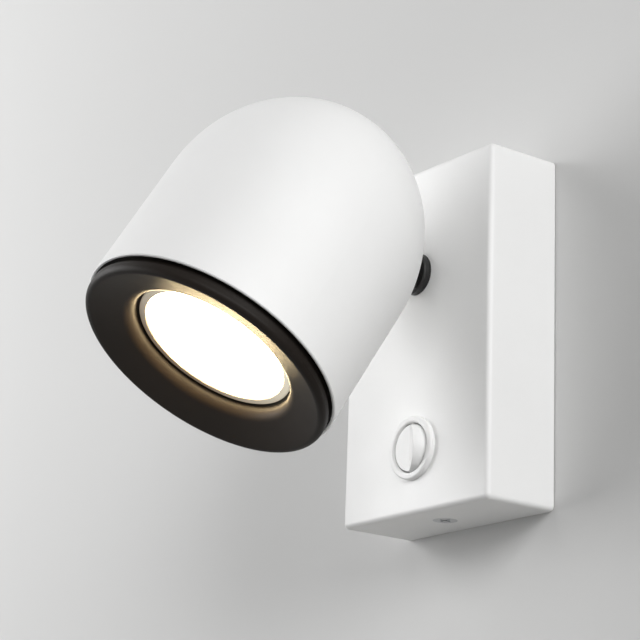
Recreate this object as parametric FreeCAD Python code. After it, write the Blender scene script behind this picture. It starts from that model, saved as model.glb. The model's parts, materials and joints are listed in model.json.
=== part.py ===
import FreeCAD, Part
import math
import os

# A small wall spotlight: a flat base box, a turning stem with a tilting hinge, and a round
# head that holds a 50 mm twist-lock reflector lamp.
#
# Millimetres. The wall is the plane y = 0 and the light stands out from it towards -Y.
# +Z is up, +X is to the right of someone who faces the wall, and the origin is the middle
# of the base's back. Head pieces are drawn in the head's own frame, with the rim of the
# shell in z = 0, the light leaving towards -Z and the hinge on the +Y side, and are then
# tilted and turned into place.

# ---------------------------------------------------------------- clearances
CLOSE_GAP = 0.05          # a screw, pin or sleeve in its own hole, on the radius
SLIDE_GAP = 0.2           # flat faces that turn past each other
MOVE_GAP = 0.3            # other pieces that move past each other
OVER = 1.0                # how far a cutting shape runs past the face it opens
TOUCH = 1e-6              # two values closer than this are the same

# ---------------------------------------------------------------- base box
BASE_WIDTH = 68.0
BASE_HEIGHT = 110.0
BASE_DEPTH = 26.0
COVER_WALL = 2.0
COVER_ROUND = 1.6
COVER_SCREW_INSET = 13.0  # cover screw axis, out from the wall
COVER_SCREW_LENGTH = 9.0

# ---------------------------------------------------------------- wall bracket
SHEET = 1.5
BRACKET_SIDE_ROOM = 10.0  # bracket to the inside of the cover's sides
BRACKET_CORNER = 3.0
BRACKET_END_GAP = 0.3     # bracket tab to the inside of the cover
TAB_WIDTH = 14.0
TAB_END_GAP = 5.0         # bracket tab to the cover's front wall
TAB_BEND = 1.0            # inside radius of the bend
WALL_SLOT_MARGIN = 12.7   # slot centre, in from the bracket's end
WALL_SLOT_WIDTH = 4.5
WALL_SLOT_LENGTH = 12.0
CABLE_HOLE_Z = -18.5
CABLE_BORE = 8.0
GROMMET_WALL = 2.0
GROMMET_FLANGE = 1.8
GROMMET_FLANGE_HEIGHT = 1.2

# ---------------------------------------------------------------- terminals
POLE_COUNT = 3
POLE_GAP = 1.4
WEB_WALL = 0.85           # beside the fixing screw's hole
BLOCK_LENGTH = 16.0
BLOCK_FLOOR = 2.5         # under the sleeves
BLOCK_ROOF = 1.2          # over the sleeves
BLOCK_HEIGHT = 13.5
BLOCK_Z = -1.5
SLEEVE_SIDE = 4.6
SLEEVE_LENGTH = 13.0
SLEEVE_BORE = 2.9
CLAMP_SCREW_SPACING = 7.6
EARTH_MARGIN = 7.0        # earth screw, in from the bracket's edge
EARTH_Z = 20.0
CUP_RIM = 1.2             # cup washer beyond the screw head
CUP_HEIGHT = 2.0
CUP_SHEET = 0.8
POLE_ROUND = 1.6

# ---------------------------------------------------------------- screws
M3_RADIUS = 1.5
M3_HEAD_RADIUS = 2.75
M3_HEAD_HEIGHT = 1.9
M4_RADIUS = 2.0
M4_HEAD_RADIUS = 3.8
M4_HEAD_HEIGHT = 2.4
RECESS_WIDTH = 0.8
RECESS_SPAN = 1.1         # cross recess, as a share of the head's radius
RECESS_DEPTH = 0.35
CROWN_ROUND = 0.45        # as a share of the head's height
THREAD_ROOM = 1.0         # screw end to the bottom of a blind hole

# ---------------------------------------------------------------- rocker switch
SWITCH_RISE = 20.3        # switch axis, up from the base's lower edge
SWITCH_BEZEL_WIDTH = 2.15
SWITCH_BEZEL_STAND = 1.65
SWITCH_BEZEL_ROUND = 0.7
SWITCH_OPENING_RADIUS = 7.7
SWITCH_BODY_WALL = 0.8
SWITCH_FLOOR = 1.5
SNAP_STAND = 0.7
SNAP_LENGTH = 4.0
SNAP_WIDTH = 4.0
ROCKER_SLOPE = 15.0       # each half of the rocker, from its middle position
ROCKER_FACE_HEIGHT = 1.93 # sloping face in front of the pivot
ROCKER_RECESS = 0.4       # pressed half behind the bezel's front
ROCKER_BACK = 3.0
ROCKER_PIN_RADIUS = 1.2
BLADE_WIDTH = 4.8
BLADE_THICKNESS = 0.8
BLADE_LENGTH = 6.0
BLADE_SPACING = 8.0
BLADE_CORNER = 1.0
BLADE_EYE = 0.8
BLADE_ROOM = 3.0          # blade tips to the wall bracket

# ---------------------------------------------------------------- turning stem
STEM_DROP = 34.5          # stem axis, down from the base's upper edge
COLLAR_STEP = 1.55        # collar beyond the shank
COLLAR_CHAMFER = 0.5
SHANK_RADIUS = 5.0
SHANK_KEY = 0.7           # depth of the key flat
SHANK_TAIL = 0.9          # shank beyond its nut
BUSH_WALL = 0.9
BUSH_FLANGE_HEIGHT = 0.5
WASHER_STEP = 3.5         # friction washer beyond the shank
FRICTION_WASHER_HEIGHT = 0.8
STOP_WASHER_HEIGHT = 1.0
STOP_RING_STEP = 3.0      # stop washer beyond the shank
STOP_TAB_WIDTH = 3.0
LUG_GAP = 0.8             # friction washer to the cast stop lug
LUG_RADIUS = 1.2
CONE_WASHER_SHEET = 0.6
CONE_WASHER_RISE = 0.5
STEM_NUT_FLATS = 14.0
STEM_NUT_HEIGHT = 4.0
WIRE_BORE_RADIUS = 2.1

# ---------------------------------------------------------------- hinge
TONGUE_THICKNESS = 6.0
TONGUE_WIDTH = 11.0
HINGE_RADIUS = 2.0
HINGE_WASHER_RADIUS = 5.0
HINGE_WASHER_HEIGHT = 0.8
HINGE_HEAD_RADIUS = 3.5
HINGE_HEAD_HEIGHT = 2.2
HINGE_HEAD_ROUND = 0.7
HINGE_KEY_FLATS = 2.5
HINGE_KEY_DEPTH = 1.5
HINGE_NUT_FLATS = 7.0
HINGE_NUT_HEIGHT = 3.8
HINGE_ROOM = 10.7         # hinge axis, beside the lamp holder
HINGE_DROP = 8.3          # hinge axis, below the top of the bracket plate
TILT_MIN = 20.0           # head axis below the horizontal, at the upper stop
TILT_MAX = 90.0           # and at the lower stop
REST_TILT = 59.2
REST_SWIVEL = 4.0         # turn of the stem about +Y
DOME_GAP = 0.6            # dome to base cover at the upper stop
COLLAR_GAP = 0.5          # dome to collar at the upper stop

# ---------------------------------------------------------------- head shell
HEAD_RADIUS = 40.5
HEAD_STRAIGHT = 44.3
DOME_HEIGHT = 45.7
SHELL_WALL = 1.6
RIM_WALL = 0.8
RIM_CHAMFER = 0.3
MOUTH_DEPTH = 8.0
SLOT_SIDE_GAP = 0.5
SLOT_END_GAP = 0.6
BOSS_X = 19.0
BOSS_RADIUS = 3.5
BOSS_HOLE_DEPTH = 8.0

# ---------------------------------------------------------------- front ring
RING_FIT = 0.15
RING_STAND = 4.7
RING_WALL = 1.3
RING_SHOULDER = 1.7
RING_EDGE_STEP = 0.05     # edge of the ring's face inside the radius of its skirt
GROOVE_DEPTH = 1.3        # shadow groove between the shell's rim and the ring's face
GROOVE_WIDTH = 1.7        # in front of the rim
GROOVE_SINK = 0.6         # and behind it
SKIRT_GAP = 0.4           # ring skirt to the step in the mouth
RING_SLEEVE = 6.0
DISH_ANGLE = 18.0
LIP_ROUND = 3.7
CLIP_COUNT = 3
CLIP_SHEET = 0.6
CLIP_SPAN = 12.0          # degrees of the ring
CLIP_GRIP = 5.4
CLIP_REACH = 8.0
CLIP_LEAD = 1.0           # flat leaf beyond the step in the mouth

# ---------------------------------------------------------------- lamp and holder
LAMP_RADIUS = 25.0
LAMP_SINK = 2.2           # lamp face behind the rim of the shell
LAMP_LENGTH = 47.5        # face to the end of the base, without pins
LAMP_GAP = 0.7            # lamp to front ring
BEZEL_WIDTH = 2.4
BEZEL_DEPTH = 5.0
BEZEL_ROUND = 0.5
DIFFUSER_THICKNESS = 1.5
DIFFUSER_SINK = 0.75      # diffuser behind the face of the bezel
LAMP_WALL = 2.4
LAMP_SWELL = 1.2          # bulge of the curved flank
LAMP_NECK_RADIUS = 14.6
LAMP_NECK_LENGTH = 7.7
LAMP_BASE_RADIUS = 11.0
LAMP_BASE_LENGTH = 8.0
PIN_SPACING = 10.0
PIN_NECK_RADIUS = 1.55
PIN_HEAD_RADIUS = 2.5
PIN_LENGTH = 7.0
PIN_HEAD_LENGTH = 3.7
PIN_HEAD_ROUND = 0.6
TWIST_ANGLE = 22.0
HOLDER_RADIUS = 12.5
HOLDER_LENGTH = 16.4
HOLDER_FACE = 2.5         # ceramic in front of the pin chambers
HOLDER_CHAMFER = 0.8
HOLDER_SCREW_SPACING = 17.0
HOLDER_SCREW_SINK = 1.1   # screw head below the holder's face
PIN_GAP = 0.4
CHAMBER_GAP = 0.6         # around and behind the pin heads in the holder

# ---------------------------------------------------------------- head bracket
BRACE_HALF_WIDTH = 24.0
BRACE_FRONT = 9.0
BRACE_CORNER = 3.0
BRACE_WIRE_HOLE = 3.5
EAR_ROUND = 6.4
EAR_GAP = 0.5             # ears to the side of the lamp holder

# ---------------------------------------------------------------- values worked out from these
STEM_Z = BASE_HEIGHT / 2 - STEM_DROP
SWITCH_Z = SWITCH_RISE - BASE_HEIGHT / 2
COVER_FRONT_Y = -BASE_DEPTH
COVER_BACK_Y = COVER_WALL - BASE_DEPTH
BRACKET_WIDTH = BASE_WIDTH - 2 * (COVER_WALL + BRACKET_SIDE_ROOM)
TAB_OUTER_Z = BASE_HEIGHT / 2 - COVER_WALL - BRACKET_END_GAP
TAB_REACH = BASE_DEPTH - COVER_WALL - TAB_END_GAP
WALL_SLOT_Z = TAB_OUTER_Z - WALL_SLOT_MARGIN
EARTH_X = BRACKET_WIDTH / 2 - EARTH_MARGIN
SLEEVE_ROOM = SLEEVE_SIDE + 2 * CLOSE_GAP
POLE_PITCH = SLEEVE_ROOM + 2 * (M3_RADIUS + CLOSE_GAP + WEB_WALL)
POLE_WIDTH = POLE_PITCH - POLE_GAP
BLOCK_SEAT = SHEET + BLOCK_FLOOR + SLEEVE_ROOM + BLOCK_ROOF
GROMMET_RADIUS = CABLE_BORE / 2 + GROMMET_WALL
COLLAR_RADIUS = SHANK_RADIUS + COLLAR_STEP
BUSH_BORE = SHANK_RADIUS + CLOSE_GAP
BUSH_RADIUS = BUSH_BORE + BUSH_WALL
WASHER_RADIUS = SHANK_RADIUS + WASHER_STEP
STOP_RING_RADIUS = SHANK_RADIUS + STOP_RING_STEP
LUG_ORBIT = WASHER_RADIUS + LUG_GAP + LUG_RADIUS
FRICTION_WASHER_Y = COVER_BACK_Y + FRICTION_WASHER_HEIGHT
STOP_WASHER_Y = FRICTION_WASHER_Y + SLIDE_GAP
CONE_WASHER_Y = STOP_WASHER_Y + STOP_WASHER_HEIGHT
STEM_NUT_Y = CONE_WASHER_Y + CONE_WASHER_SHEET + CONE_WASHER_RISE
SHANK_END_Y = STEM_NUT_Y + STEM_NUT_HEIGHT + SHANK_TAIL
COLLAR_BACK_Y = COVER_FRONT_Y - BUSH_FLANGE_HEIGHT - SLIDE_GAP
EAR_INNER_X = TONGUE_THICKNESS / 2 + SLIDE_GAP + HINGE_WASHER_HEIGHT
MOUTH_RADIUS = HEAD_RADIUS - RIM_WALL
SHELL_BORE = HEAD_RADIUS - SHELL_WALL
RING_RADIUS = MOUTH_RADIUS - RING_FIT
RING_EDGE_RADIUS = RING_RADIUS - RING_EDGE_STEP
RING_OPENING = LAMP_RADIUS + LAMP_GAP
RING_SKIRT = MOUTH_DEPTH - SKIRT_GAP
LAMP_END = LAMP_SINK + LAMP_LENGTH
LAMP_CUP_RADIUS = LAMP_RADIUS - BEZEL_WIDTH - CLOSE_GAP
HOLDER_Z = LAMP_END + MOVE_GAP
HOLDER_SCREW_SEAT = HOLDER_Z + M3_HEAD_HEIGHT + HOLDER_SCREW_SINK
BRACE_Z = HOLDER_Z + HOLDER_LENGTH
BOSS_Z = BRACE_Z + SHEET
PIVOT_OFFSET = HOLDER_RADIUS + HINGE_ROOM
PIVOT_BACK = BOSS_Z - HINGE_DROP
EAR_START = HOLDER_RADIUS + EAR_GAP
BRACE_BACK = EAR_START + SHEET
SWITCH_BEZEL_RADIUS = SWITCH_OPENING_RADIUS + SWITCH_BEZEL_WIDTH
SWITCH_BODY_LENGTH = BASE_DEPTH - SHEET - BLADE_ROOM - BLADE_LENGTH
ROCKER_RADIUS = SWITCH_OPENING_RADIUS - MOVE_GAP
ROCKER_FLUSH_Y = COVER_FRONT_Y - SWITCH_BEZEL_STAND + ROCKER_RECESS
ROCKER_PIVOT_Y = ROCKER_FLUSH_Y + ROCKER_FACE_HEIGHT
SWITCH_BODY_RADIUS = SWITCH_OPENING_RADIUS + SWITCH_BODY_WALL


def vec(x, y, z):
    return FreeCAD.Vector(x, y, z)


ORIGIN = vec(0, 0, 0)
AXIS_X = vec(1, 0, 0)
AXIS_Y = vec(0, 1, 0)
AXIS_Z = vec(0, 0, 1)


# ================================================================ hinge place
def dome_reach(tilt):
    """How far the dome stands behind the hinge, square to the wall, at a tilt in degrees."""
    turn = math.radians(tilt)
    centre = -(PIVOT_BACK - HEAD_STRAIGHT) * math.cos(turn) - PIVOT_OFFSET * math.sin(turn)
    swell = math.hypot(DOME_HEIGHT * math.cos(turn), HEAD_RADIUS * math.sin(turn))
    return centre + swell


def dome_depth(tilt, sideways):
    """Distance from the hinge to the dome along a line towards the wall, shifted sideways."""
    turn = math.radians(tilt)
    start_y = PIVOT_OFFSET + sideways * math.cos(turn)
    start_z = PIVOT_BACK - HEAD_STRAIGHT - sideways * math.sin(turn)
    a = (math.sin(turn) / HEAD_RADIUS) ** 2 + (math.cos(turn) / DOME_HEIGHT) ** 2
    b = start_y * math.sin(turn) / HEAD_RADIUS ** 2 + start_z * math.cos(turn) / DOME_HEIGHT ** 2
    c = (start_y / HEAD_RADIUS) ** 2 + (start_z / DOME_HEIGHT) ** 2 - 1
    return (math.sqrt(b * b - a * c) - b) / a


PIVOT_REACH = dome_reach(TILT_MIN) + DOME_GAP
PIVOT_Y = COVER_FRONT_Y - PIVOT_REACH
COLLAR_FRONT_Y = PIVOT_Y + dome_depth(TILT_MIN, -COLLAR_RADIUS) + COLLAR_GAP


def dome_bore(z):
    """Inner radius of the shell at a height in its dome."""
    rise = (z - HEAD_STRAIGHT) / (DOME_HEIGHT - SHELL_WALL)
    return SHELL_BORE * math.sqrt(1 - rise * rise)


def turn_stem(shape):
    """Turns what sits on the stem to the swivel angle of the rest pose."""
    shape.rotate(vec(0, 0, STEM_Z), AXIS_Y, REST_SWIVEL)
    return shape


def place_head(shape):
    """Moves a piece from the head's own frame to its place on the hinge."""
    shape.translate(vec(0, -PIVOT_OFFSET, -PIVOT_BACK))
    shape.rotate(ORIGIN, AXIS_X, REST_TILT - 90)
    shape.translate(vec(0, PIVOT_Y, STEM_Z))
    return turn_stem(shape)


# ================================================================ shape helpers
def rod(radius, start, end):
    """Cylinder between two points."""
    along = end - start
    return Part.makeCylinder(radius, along.Length, start, along)


def tube(outer, inner, start, end):
    """Round tube between two points."""
    return rod(outer, start, end).cut(rod(inner, start, end))


def centred_box(width, depth, height, middle):
    corner = middle - vec(width / 2, depth / 2, height / 2)
    return Part.makeBox(width, depth, height, corner)


def face_of(edges):
    return Part.Face(Part.Wire(Part.__sortEdges__(edges)))


def outline(points):
    """Face inside a closed run of straight edges."""
    return Part.Face(Part.makePolygon(points + points[:1]))


def line(start, end):
    return Part.makeLine(start, end)


def arc(start, middle, end):
    return Part.Arc(start, middle, end).toShape()


def spin(face):
    """Solid of revolution about the Z axis."""
    return face.revolve(ORIGIN, AXIS_Z, 360)


def edges_at(shape, axis, place):
    """Edges whose middle lies at a value along the X, Y or Z axis."""
    return [edge for edge in shape.Edges if abs(edge.CenterOfMass.dot(axis) - place) < TOUCH]


def rounded_plate(start, across, up, grow, corner):
    """Plate with round corners, from one corner point along its three edges."""
    solid = outline([start, start + across, start + across + up, start + up]).extrude(grow)
    upright = [edge for edge in solid.Edges if abs(edge.tangentAt(edge.FirstParameter).dot(grow)) > TOUCH]
    return solid.makeFillet(corner, upright)


def aim(shape, place, direction):
    """Turns a piece that was drawn along +Z to a direction and moves it to a place."""
    turn = FreeCAD.Rotation(AXIS_Z, direction)
    shape.Placement = FreeCAD.Placement(place, turn)
    return shape


def cross_recess(head_radius, top):
    """Cross-shaped pocket in the top of a screw head."""
    span = head_radius * RECESS_SPAN
    depth = head_radius * RECESS_DEPTH
    one = centred_box(span, RECESS_WIDTH, 2 * depth, vec(0, 0, top))
    other = centred_box(RECESS_WIDTH, span, 2 * depth, vec(0, 0, top))
    return one.fuse(other)


def pan_screw(radius, head_radius, head_height, length):
    """Screw that seats in z = 0, with its head above and its shank below."""
    head = Part.makeCylinder(head_radius, head_height)
    head = head.makeFillet(head_height * CROWN_ROUND, edges_at(head, AXIS_Z, head_height))
    shank = rod(radius, vec(0, 0, -length), vec(0, 0, head_height / 2))
    return head.fuse(shank).cut(cross_recess(head_radius, head_height)).removeSplitter()


def countersunk_screw(radius, head_radius, length):
    """Screw with its flat top in z = 0."""
    cone = head_radius - radius
    head = Part.makeCone(radius, head_radius, cone, vec(0, 0, -cone))
    shank = rod(radius, vec(0, 0, -length), vec(0, 0, -cone / 2))
    return head.fuse(shank).cut(cross_recess(head_radius, 0)).removeSplitter()


def hexagon(across_flats, height):
    """Hexagonal prism standing on z = 0."""
    radius = across_flats / math.sqrt(3)
    corners = [vec(radius * math.cos(math.radians(60 * k)), radius * math.sin(math.radians(60 * k)), 0)
               for k in range(6)]
    return outline(corners).extrude(vec(0, 0, height))


def hex_nut(across_flats, bore, height):
    """Nut on z = 0 whose corners are turned off at both ends."""
    flat = across_flats / 2
    corner = across_flats / math.sqrt(3)
    bevel = (corner - flat) / 2
    turned = outline([
        vec(0, 0, 0),
        vec(flat, 0, 0),
        vec(corner, 0, bevel),
        vec(corner, 0, height - bevel),
        vec(flat, 0, height),
        vec(0, 0, height),
    ])
    return hexagon(across_flats, height).common(spin(turned)).cut(rod(bore, ORIGIN, vec(0, 0, height)))


def group(shapes):
    return Part.makeCompound(shapes)


# ================================================================ base
def cover_screw_places():
    """Both cover screws: where the head's flat top lies and the way it faces."""
    return [(vec(0, -COVER_SCREW_INSET, side * BASE_HEIGHT / 2), vec(0, 0, side)) for side in (-1, 1)]


def base_cover():
    """Box that is open to the wall, with the stem, switch and screw holes and the stop lug."""
    corner = vec(-BASE_WIDTH / 2, -BASE_DEPTH, -BASE_HEIGHT / 2)
    box = Part.makeBox(BASE_WIDTH, BASE_DEPTH, BASE_HEIGHT, corner)
    outer_edges = [edge for edge in box.Edges if edge.CenterOfMass.y < -COVER_ROUND]
    box = box.makeFillet(COVER_ROUND, outer_edges)
    inside = Part.makeBox(BASE_WIDTH - 2 * COVER_WALL, BASE_DEPTH, BASE_HEIGHT - 2 * COVER_WALL,
                          vec(COVER_WALL - BASE_WIDTH / 2, COVER_BACK_Y, COVER_WALL - BASE_HEIGHT / 2))
    cover = box.cut(inside)
    for radius, z in [(BUSH_RADIUS, STEM_Z), (SWITCH_BODY_RADIUS, SWITCH_Z)]:
        front = vec(0, COVER_FRONT_Y - OVER, z)
        cover = cover.cut(rod(radius + CLOSE_GAP, front, vec(0, COVER_BACK_Y + OVER, z)))
    for place, outward in cover_screw_places():
        cover = cover.cut(aim(countersink(), place, outward))
    lug_z = STEM_Z - LUG_ORBIT
    lug_root = vec(0, COVER_BACK_Y - COVER_WALL / 2, lug_z)
    lug = rod(LUG_RADIUS, lug_root, vec(0, CONE_WASHER_Y + SLIDE_GAP, lug_z))
    return cover.fuse(lug).removeSplitter()


def countersink():
    """Room for a countersunk screw whose top lies in z = 0."""
    radius = M4_RADIUS + CLOSE_GAP
    head = M4_HEAD_RADIUS + CLOSE_GAP
    cone = Part.makeCone(radius, head, head - radius, vec(0, 0, radius - head))
    lead = rod(head, ORIGIN, vec(0, 0, OVER))
    return cone.fuse(lead).fuse(rod(radius, vec(0, 0, -2 * COVER_WALL), ORIGIN))


def cover_screws():
    screws = [aim(countersunk_screw(M4_RADIUS, M4_HEAD_RADIUS, COVER_SCREW_LENGTH), place, outward)
              for place, outward in cover_screw_places()]
    return group(screws)


def bracket_tab(side):
    """End of the wall bracket, bent forward beside the cover's inner face."""
    outer = TAB_OUTER_Z
    bend = TAB_BEND + SHEET
    quarter = math.sqrt(0.5)
    x = -TAB_WIDTH / 2
    outer_mid = vec(x, -bend + bend * quarter, side * (outer - bend + bend * quarter))
    inner_mid = vec(x, -bend + TAB_BEND * quarter, side * (outer - bend + TAB_BEND * quarter))
    edges = [
        line(vec(x, 0, side * (outer - 2 * bend)), vec(x, 0, side * (outer - bend))),
        arc(vec(x, 0, side * (outer - bend)), outer_mid, vec(x, -bend, side * outer)),
        line(vec(x, -bend, side * outer), vec(x, -TAB_REACH, side * outer)),
        line(vec(x, -TAB_REACH, side * outer), vec(x, -TAB_REACH, side * (outer - SHEET))),
        line(vec(x, -TAB_REACH, side * (outer - SHEET)), vec(x, -bend, side * (outer - SHEET))),
        arc(vec(x, -bend, side * (outer - SHEET)), inner_mid, vec(x, -SHEET, side * (outer - bend))),
        line(vec(x, -SHEET, side * (outer - bend)), vec(x, -SHEET, side * (outer - 2 * bend))),
        line(vec(x, -SHEET, side * (outer - 2 * bend)), vec(x, 0, side * (outer - 2 * bend))),
    ]
    return face_of(edges).extrude(vec(TAB_WIDTH, 0, 0))


def wall_slot(z):
    """Upright round-ended slot through the bracket."""
    straight = WALL_SLOT_LENGTH - WALL_SLOT_WIDTH
    slot = centred_box(WALL_SLOT_WIDTH, 4 * SHEET, straight, vec(0, 0, z))
    for end in (-1, 1):
        end_z = z + end * straight / 2
        slot = slot.fuse(rod(WALL_SLOT_WIDTH / 2, vec(0, -2 * SHEET, end_z), vec(0, 2 * SHEET, end_z)))
    return slot


def through_bracket(radius, x, z):
    return rod(radius, vec(x, -2 * SHEET, z), vec(x, SHEET, z))


def block_screw_x():
    """The block's fixing screw stands between two poles."""
    return POLE_PITCH / 2 if POLE_COUNT % 2 else 0.0


def wall_bracket():
    plate_half = TAB_OUTER_Z - TAB_BEND - SHEET
    start = vec(-BRACKET_WIDTH / 2, 0, -plate_half)
    across = AXIS_X * BRACKET_WIDTH
    bracket = rounded_plate(start, across, AXIS_Z * (2 * plate_half), AXIS_Y * -SHEET, BRACKET_CORNER)
    for side in (-1, 1):
        bracket = bracket.fuse(bracket_tab(side))
        bracket = bracket.cut(wall_slot(side * WALL_SLOT_Z))
        tab_z = side * (TAB_OUTER_Z - SHEET / 2)
        hole = rod(M4_RADIUS + CLOSE_GAP, vec(0, -COVER_SCREW_INSET, tab_z - SHEET),
                   vec(0, -COVER_SCREW_INSET, tab_z + SHEET))
        bracket = bracket.cut(hole)
    bracket = bracket.cut(through_bracket(GROMMET_RADIUS, 0, CABLE_HOLE_Z))
    bracket = bracket.cut(through_bracket(M3_RADIUS + CLOSE_GAP, block_screw_x(), BLOCK_Z))
    bracket = bracket.cut(through_bracket(M4_RADIUS + CLOSE_GAP, EARTH_X, EARTH_Z))
    return bracket.removeSplitter()


def cable_grommet():
    """Rubber sleeve in the bracket's cable hole, with a flange on the inside of the base."""
    front = -SHEET - GROMMET_FLANGE_HEIGHT
    sleeve = rod(GROMMET_RADIUS, vec(0, front, CABLE_HOLE_Z), vec(0, 0, CABLE_HOLE_Z))
    flange = rod(GROMMET_RADIUS + GROMMET_FLANGE, vec(0, front, CABLE_HOLE_Z), vec(0, -SHEET, CABLE_HOLE_Z))
    bore = rod(CABLE_BORE / 2, vec(0, front - OVER, CABLE_HOLE_Z), vec(0, OVER, CABLE_HOLE_Z))
    return sleeve.fuse(flange).cut(bore).removeSplitter()


def pole_places():
    first = -(POLE_COUNT - 1) / 2
    return [(first + k) * POLE_PITCH for k in range(POLE_COUNT)]


def clamp_screw_places():
    return [(x, BLOCK_Z + side * CLAMP_SCREW_SPACING / 2) for x in pole_places() for side in (-1, 1)]


def sleeve_y():
    """Middle of the brass sleeves, out from the wall."""
    return -SHEET - BLOCK_FLOOR - SLEEVE_ROOM / 2


def terminal_block():
    """Row of poles on one body, with a square tunnel for each sleeve and a well for each screw."""
    width = POLE_COUNT * POLE_PITCH
    front = -SHEET - BLOCK_HEIGHT
    low_z = BLOCK_Z - BLOCK_LENGTH / 2
    block = Part.makeBox(width, BLOCK_SEAT - SHEET, BLOCK_LENGTH, vec(-width / 2, -BLOCK_SEAT, low_z))
    for x in pole_places():
        corner = vec(x - POLE_WIDTH / 2, front, low_z)
        pole = Part.makeBox(POLE_WIDTH, BLOCK_HEIGHT - BLOCK_FLOOR, BLOCK_LENGTH, corner)
        long_edges = [edge for edge in edges_at(pole, AXIS_Y, front) if abs(edge.CenterOfMass.x - x) > TOUCH]
        block = block.fuse(pole.makeFillet(POLE_ROUND, long_edges))
    for x in pole_places():
        tunnel = centred_box(SLEEVE_ROOM, SLEEVE_ROOM, 2 * BLOCK_LENGTH, vec(x, sleeve_y(), BLOCK_Z))
        block = block.cut(tunnel)
    for x, z in clamp_screw_places():
        block = block.cut(rod(M3_RADIUS + MOVE_GAP, vec(x, front - OVER, z), vec(x, sleeve_y(), z)))
    x = block_screw_x()
    seat = vec(x, -BLOCK_SEAT, BLOCK_Z)
    block = block.cut(rod(M3_RADIUS + CLOSE_GAP, vec(x, -BLOCK_SEAT - OVER, BLOCK_Z), vec(x, 0, BLOCK_Z)))
    well = rod(M3_HEAD_RADIUS + MOVE_GAP, vec(x, front - OVER, BLOCK_Z), seat)
    return block.cut(well).removeSplitter()


def terminal_sleeves():
    """Brass sleeves that take a wire from each end."""
    sleeves = []
    for x in pole_places():
        middle = vec(x, sleeve_y(), BLOCK_Z)
        reach = AXIS_Z * SLEEVE_LENGTH
        sleeve = centred_box(SLEEVE_SIDE, SLEEVE_SIDE, SLEEVE_LENGTH, middle)
        sleeve = sleeve.cut(rod(SLEEVE_BORE / 2, middle - reach, middle + reach))
        for side in (-1, 1):
            tapped = middle + AXIS_Z * (side * CLAMP_SCREW_SPACING / 2)
            sleeve = sleeve.cut(rod(M3_RADIUS + CLOSE_GAP, tapped - AXIS_Y * SLEEVE_SIDE, tapped))
        sleeves.append(sleeve)
    return group(sleeves)


def terminal_screws():
    """Slotted clamp screws that stand in the sleeves."""
    screws = []
    low = sleeve_y()
    top = -BLOCK_SEAT - M3_RADIUS
    for x, z in clamp_screw_places():
        screw = rod(M3_RADIUS, vec(x, low, z), vec(x, top, z))
        slot = centred_box(4 * M3_RADIUS, 2 * RECESS_WIDTH, RECESS_WIDTH, vec(x, top, z))
        screws.append(screw.cut(slot))
    return group(screws)


def block_screw():
    screw = pan_screw(M3_RADIUS, M3_HEAD_RADIUS, M3_HEAD_HEIGHT, BLOCK_SEAT)
    return aim(screw, vec(block_screw_x(), -BLOCK_SEAT, BLOCK_Z), vec(0, -1, 0))


def earth_washer():
    """Cup washer with a rim that keeps the earth wire under the screw head."""
    outer = M4_HEAD_RADIUS + CUP_RIM
    foot = vec(EARTH_X, -SHEET, EARTH_Z)
    top = vec(EARTH_X, -SHEET - CUP_HEIGHT, EARTH_Z)
    past_top = top - AXIS_Y * OVER
    cup = rod(outer, top, foot)
    well = rod(outer - CUP_SHEET, past_top, foot - AXIS_Y * CUP_SHEET)
    bore = rod(M4_RADIUS + CLOSE_GAP, past_top, foot)
    return cup.cut(well).cut(bore)


def earth_screw():
    screw = pan_screw(M4_RADIUS, M4_HEAD_RADIUS, M4_HEAD_HEIGHT, SHEET + CUP_SHEET)
    return aim(screw, vec(EARTH_X, -SHEET - CUP_SHEET, EARTH_Z), vec(0, -1, 0))


# ================================================================ rocker switch
def switch_housing():
    """Round snap-in housing with a raised bezel and the rocker's bearing holes."""
    front = COVER_FRONT_Y - SWITCH_BEZEL_STAND
    body_end = COVER_FRONT_Y + SWITCH_BODY_LENGTH
    bezel = tube(SWITCH_BEZEL_RADIUS, SWITCH_OPENING_RADIUS, vec(0, front, 0), vec(0, COVER_FRONT_Y, 0))
    bezel = bezel.makeFillet(SWITCH_BEZEL_ROUND, edges_at(bezel, AXIS_Y, front))
    body = rod(SWITCH_BODY_RADIUS, vec(0, COVER_FRONT_Y, 0), vec(0, body_end, 0))
    body = body.cut(rod(SWITCH_OPENING_RADIUS, vec(0, front, 0), vec(0, body_end - SWITCH_FLOOR, 0)))
    housing = bezel.fuse(body)
    for side in (-1, 1):
        housing = housing.fuse(snap_tab(side))
    reach = AXIS_Z * (SWITCH_BODY_RADIUS + OVER)
    pivot = vec(0, ROCKER_PIVOT_Y, 0)
    bearing = rod(ROCKER_PIN_RADIUS + CLOSE_GAP, pivot - reach, pivot + reach)
    housing = housing.cut(bearing).removeSplitter()
    housing.translate(vec(0, 0, SWITCH_Z))
    return housing


def snap_tab(side):
    """Wedge behind the cover's front wall that holds the housing in its hole."""
    near = COVER_BACK_Y + CLOSE_GAP
    inner = SWITCH_BODY_RADIUS - SWITCH_BODY_WALL / 2
    outer = SWITCH_BODY_RADIUS + SNAP_STAND
    z = -SNAP_WIDTH / 2
    wedge = outline([
        vec(side * inner, near, z),
        vec(side * outer, near, z),
        vec(side * SWITCH_BODY_RADIUS, near + SNAP_LENGTH, z),
        vec(side * inner, near + SNAP_LENGTH, z),
    ])
    return wedge.extrude(vec(0, 0, SNAP_WIDTH))


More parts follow.
